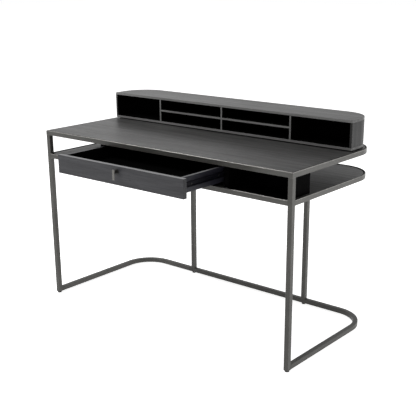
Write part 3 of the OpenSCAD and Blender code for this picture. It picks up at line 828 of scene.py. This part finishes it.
# The rosette and stem get a much darker copy of the bronzed steel: painted shade.
pull_steel_painted_shade = bronzed_steel("bronzed_steel_turned_painted_shade", TURNED_LINES,
                           (0.014, 0.0135, 0.0125), (0.026, 0.025, 0.023))
# The tab gets a much lighter copy of the bronzed steel: a painted highlight.
tab_steel_painted_highlight = bronzed_steel("bronzed_steel_tab_painted_highlight", UPRIGHT_LINES, (0.13, 0.126, 0.116), (0.19, 0.185, 0.17))


def add_round(name, node, ease):
    """A turned disc or rod along Y in a node's box, with eased rims, in edit mode."""
    low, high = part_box(node)
    bpy.ops.mesh.primitive_cylinder_add(
        vertices=PULL_SIDES, radius=(high.x - low.x) / 2, depth=high.y - low.y,
        location=(low + high) / 2, rotation=(pi / 2, 0, 0))
    turned = bpy.context.object
    turned.name = turned.data.name = name
    bpy.ops.object.transform_apply(location=True, rotation=True, scale=True)
    bpy.ops.object.mode_set(mode="EDIT")
    pick(turned, "EDGE", lambda middle, along: abs(along.y) < 0.1)
    bpy.ops.mesh.bevel(offset=ease, segments=TURNED_STEPS, affect="EDGES")
    return turned


rosette = add_round("pull_rosette_turned", "pull_rosette", ROSETTE_EASE)
finish(rosette, pull_steel_painted_shade, "drawer", ["pull_rosette"])
stem = add_round("pull_stem_turned", "pull_stem", STEM_EASE)
finish(stem, pull_steel_painted_shade, "drawer", ["pull_stem"])
tab = add_block("pull_tab_plate", *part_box("pull_tab"))
pick(tab, "EDGE", lambda middle, along: abs(along.y) > SQUARE_ON)
bpy.ops.mesh.bevel(offset=TAB_CORNER_R, segments=ROUND_STEPS, affect="EDGES")
finish(tab, tab_steel_painted_highlight, "drawer", ["pull_tab"], ease=TAB_EASE, steps=3)
bolt_low, bolt_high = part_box("pull_bolt")
bolt = add_screw(PAN_HEAD_R, PAN_HEAD_H, SHANK_R, bolt_high.y - bolt_low.y)
bolt_place = Vector(((bolt_low.x + bolt_high.x) / 2, bolt_high.y, (bolt_low.z + bolt_high.z) / 2))
bolt_move = Matrix.Translation(bolt_place) @ Matrix.Rotation(-pi / 2, 4, "X")
bolt = set_copies(bolt, "pull_bolt_screw", [bolt_move])
finish(bolt, zinc_plate, "drawer", ["pull_bolt"])

# ---------------------------------------------------------------------------
# Organiser
# A low box with the same rounded back as the desk: veneered floor, bent wall and
# top, painted black inside as shade, on a set-back plinth painted black as shade. Thin dividers and two
# shelves part it.

SUNK_HEAD_R = 0.004
SUNK_HEAD_H = 0.0025
SHELL_EASE = 0.0008

banded_edge = stained_oak("banded_edge", (0.125, 0.124, 0.122), (0.18, 0.179, 0.177), shine=0.36)
# A lighter copy of the charcoal oak for the organiser's floor and top: painted sheen.
box_oak_painted_sheen = stained_oak("charcoal_oak_box_painted_sheen", (0.040, 0.0397, 0.0393), (0.100, 0.0990, 0.0980), shine=0.41)
# A much darker copy of the charcoal oak for the organiser's bent wall: painted shade.
upright_oak_painted_shade = stained_oak("charcoal_oak_upright_painted_shade", (0.003, 0.0029, 0.0029), (0.030, 0.0295, 0.0290),
                          GRAIN_UPRIGHT)


def forward(middle, normal):
    """A rule for pick and paint_faces: a face that looks to the front."""
    return normal.y < -SQUARE_ON


shell_low, shell_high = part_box("organiser_wall")
shell_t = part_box("organiser_top")[1].z - shell_high.z
organiser_r = CORNER_R - (shell_low.x - desk_low.x)
plinth_low, plinth_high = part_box("organiser_plinth")
plinth_r = organiser_r - (plinth_low.x - shell_low.x)
plinth = add_d_block("organiser_plinth_board", plinth_low, plinth_high, plinth_r)
finish(plinth, black_board_painted_shade, "desk", ["organiser_plinth"], ease=THIN_EASE)
for name, node, inside in (("organiser_floor_board", "organiser_bottom", 1),
                           ("organiser_top_board", "organiser_top", -1)):
    board = add_d_block(name, *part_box(node), organiser_r)
    board.data.materials.append(box_oak_painted_sheen)
    paint_faces(board, black_board_painted_shade, lambda middle, normal: normal.z * inside > SQUARE_ON)
    paint_faces(board, banded_edge, forward)
    finish(board, box_oak_painted_sheen, "desk", [node], ease=SHELL_EASE, steps=3)

wall = add_d_block("organiser_bent_wall", shell_low, shell_high, organiser_r)
pick(wall, "FACE", lambda middle, normal: abs(normal.z) > SQUARE_ON or forward(middle, normal))
bpy.ops.mesh.delete(type="FACE")
bpy.ops.object.mode_set(mode="OBJECT")
wall.data.materials.append(upright_oak_painted_shade)
wall.data.materials.append(black_board_painted_shade)
thicken = wall.modifiers.new("board", "SOLIDIFY")
thicken.thickness = shell_t
thicken.offset = -1
thicken.use_even_offset = True
thicken.material_offset = 1
bpy.ops.object.modifier_apply(modifier=thicken.name)
bpy.ops.object.mode_set(mode="EDIT")
finish(wall, upright_oak_painted_shade, "desk", ["organiser_wall"], ease=SHELL_EASE, steps=3)

for node in ("divider_left", "divider_centre", "divider_right", "mid_shelf_left", "mid_shelf_right"):
    board = add_block(f"{node}_board", *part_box(node))
    board.data.materials.append(black_board_painted_shade)
    paint_faces(board, banded_edge, forward)
    finish(board, black_board_painted_shade, "desk", [node], ease=BOARD_EASE)

screws_low, screws_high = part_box("organiser_screws")
divider_mid = (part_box("divider_right")[0].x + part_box("divider_right")[1].x) / 2
moves = []
for side in (-1, 1):
    for x in (divider_mid / 2, (divider_mid + shell_high.x) / 2):
        moves.append(Matrix.Translation((side * x, (screws_low.y + screws_high.y) / 2, screws_high.z)))
screw = add_screw(SUNK_HEAD_R, SUNK_HEAD_H, SHANK_R, screws_high.z - screws_low.z, flat_head=True)
finish(set_copies(screw, "organiser_sunk_screws", moves), zinc_plate, "desk", ["organiser_screws"])

# ---------------------------------------------------------------------------
# Studio
# A pale floor, which can be seen through from below, and a white surround. One soft
# light stands above the left front, a wide weak one behind, and a low one on the right.

FLOOR_SIZE = 60
FLOOR_GLOW = 0.8
WORLD_FRONT = 0.46
WORLD_BACK = 0.66
DESKTOP_AIM = (0, 0, 0.75)
CAMERA_PLACE = (2.1908, -2.5024, 1.4205)
CAMERA_YAW = radians(39.70)
CAMERA_PITCH = radians(-17.82)
CAMERA_ROLL = radians(-0.32)
CAMERA_LENS = 71.51
CAMERA_SHIFT = 0.0702

bpy.ops.mesh.primitive_plane_add(size=FLOOR_SIZE, location=(0, 0, 0))
floor = bpy.context.object
floor.name = "studio_floor"
floor_paint, tree, shader, place = new_material(
    "studio_floor_paint", Roughness=0.9, Specular_IOR_Level=0.1, Emission_Strength=FLOOR_GLOW)
mottle = add_noise(tree, place, 3, 2)
tree.links.new(add_mix(tree, mottle, (0.90, 0.90, 0.90), (0.93, 0.93, 0.93)), shader.inputs["Base Color"])
seen = tree.nodes.new("ShaderNodeLightPath").outputs["Is Camera Ray"]
tree.links.new(add_mix(tree, seen, (0.64, 0.64, 0.64), (1, 1, 1)), shader.inputs["Emission Color"])
underneath = tree.nodes.new("ShaderNodeNewGeometry").outputs["Backfacing"]
tree.links.new(add_math(tree, "SUBTRACT", 1, underneath), shader.inputs["Alpha"])
floor.data.materials.append(floor_paint)

world = bpy.data.worlds.new("studio")
bpy.context.scene.world = world
world.use_nodes = True
tree = world.node_tree
surround = tree.nodes["Background"]
surround.inputs["Color"].default_value = (1, 1, 1, 1)
split = tree.nodes.new("ShaderNodeSeparateXYZ")
tree.links.new(tree.nodes.new("ShaderNodeTexCoord").outputs["Generated"], split.inputs["Vector"])
seen = tree.nodes.new("ShaderNodeLightPath").outputs["Is Camera Ray"]
glow = add_range(tree, split.outputs["Y"], -1.0, 1.0, WORLD_FRONT, WORLD_BACK)
tree.links.new(add_math(tree, "MAXIMUM", glow, seen), surround.inputs["Strength"])


def add_softbox(name, place, aim, size, power):
    """A rectangular area light, with its power in watts, that faces a point."""
    bpy.ops.object.light_add(type="AREA", location=place)
    lamp = bpy.context.object
    lamp.name = name
    lamp.data.shape = "RECTANGLE"
    lamp.data.size, lamp.data.size_y = size
    lamp.data.energy = power
    lamp.rotation_euler = (Vector(aim) - Vector(place)).to_track_quat("-Z", "Y").to_euler()
    lamp.select_set(False)


add_softbox("key_light", (-1.7, -1.2, 3.0), DESKTOP_AIM, (0.7, 0.9), 54)
add_softbox("back_light", (-1.9, 1.5, 2.4), DESKTOP_AIM, (1.6, 1.6), 7)
add_softbox("right_light", (3.4, 1.2, 0.5), (0.5, 0, 0.30), (1.4, 0.7), 40)

bpy.ops.object.camera_add()
camera = bpy.context.object
camera.name = "camera"
camera.matrix_world = (
    Matrix.Translation(CAMERA_PLACE) @ Matrix.Rotation(CAMERA_YAW, 4, "Z")
    @ Matrix.Rotation(pi / 2 + CAMERA_PITCH, 4, "X") @ Matrix.Rotation(CAMERA_ROLL, 4, "Z"))
camera.data.sensor_width = 36
camera.data.lens = CAMERA_LENS
camera.data.shift_y = CAMERA_SHIFT
bpy.context.scene.camera = camera
bpy.context.scene.view_settings.view_transform = "Standard"
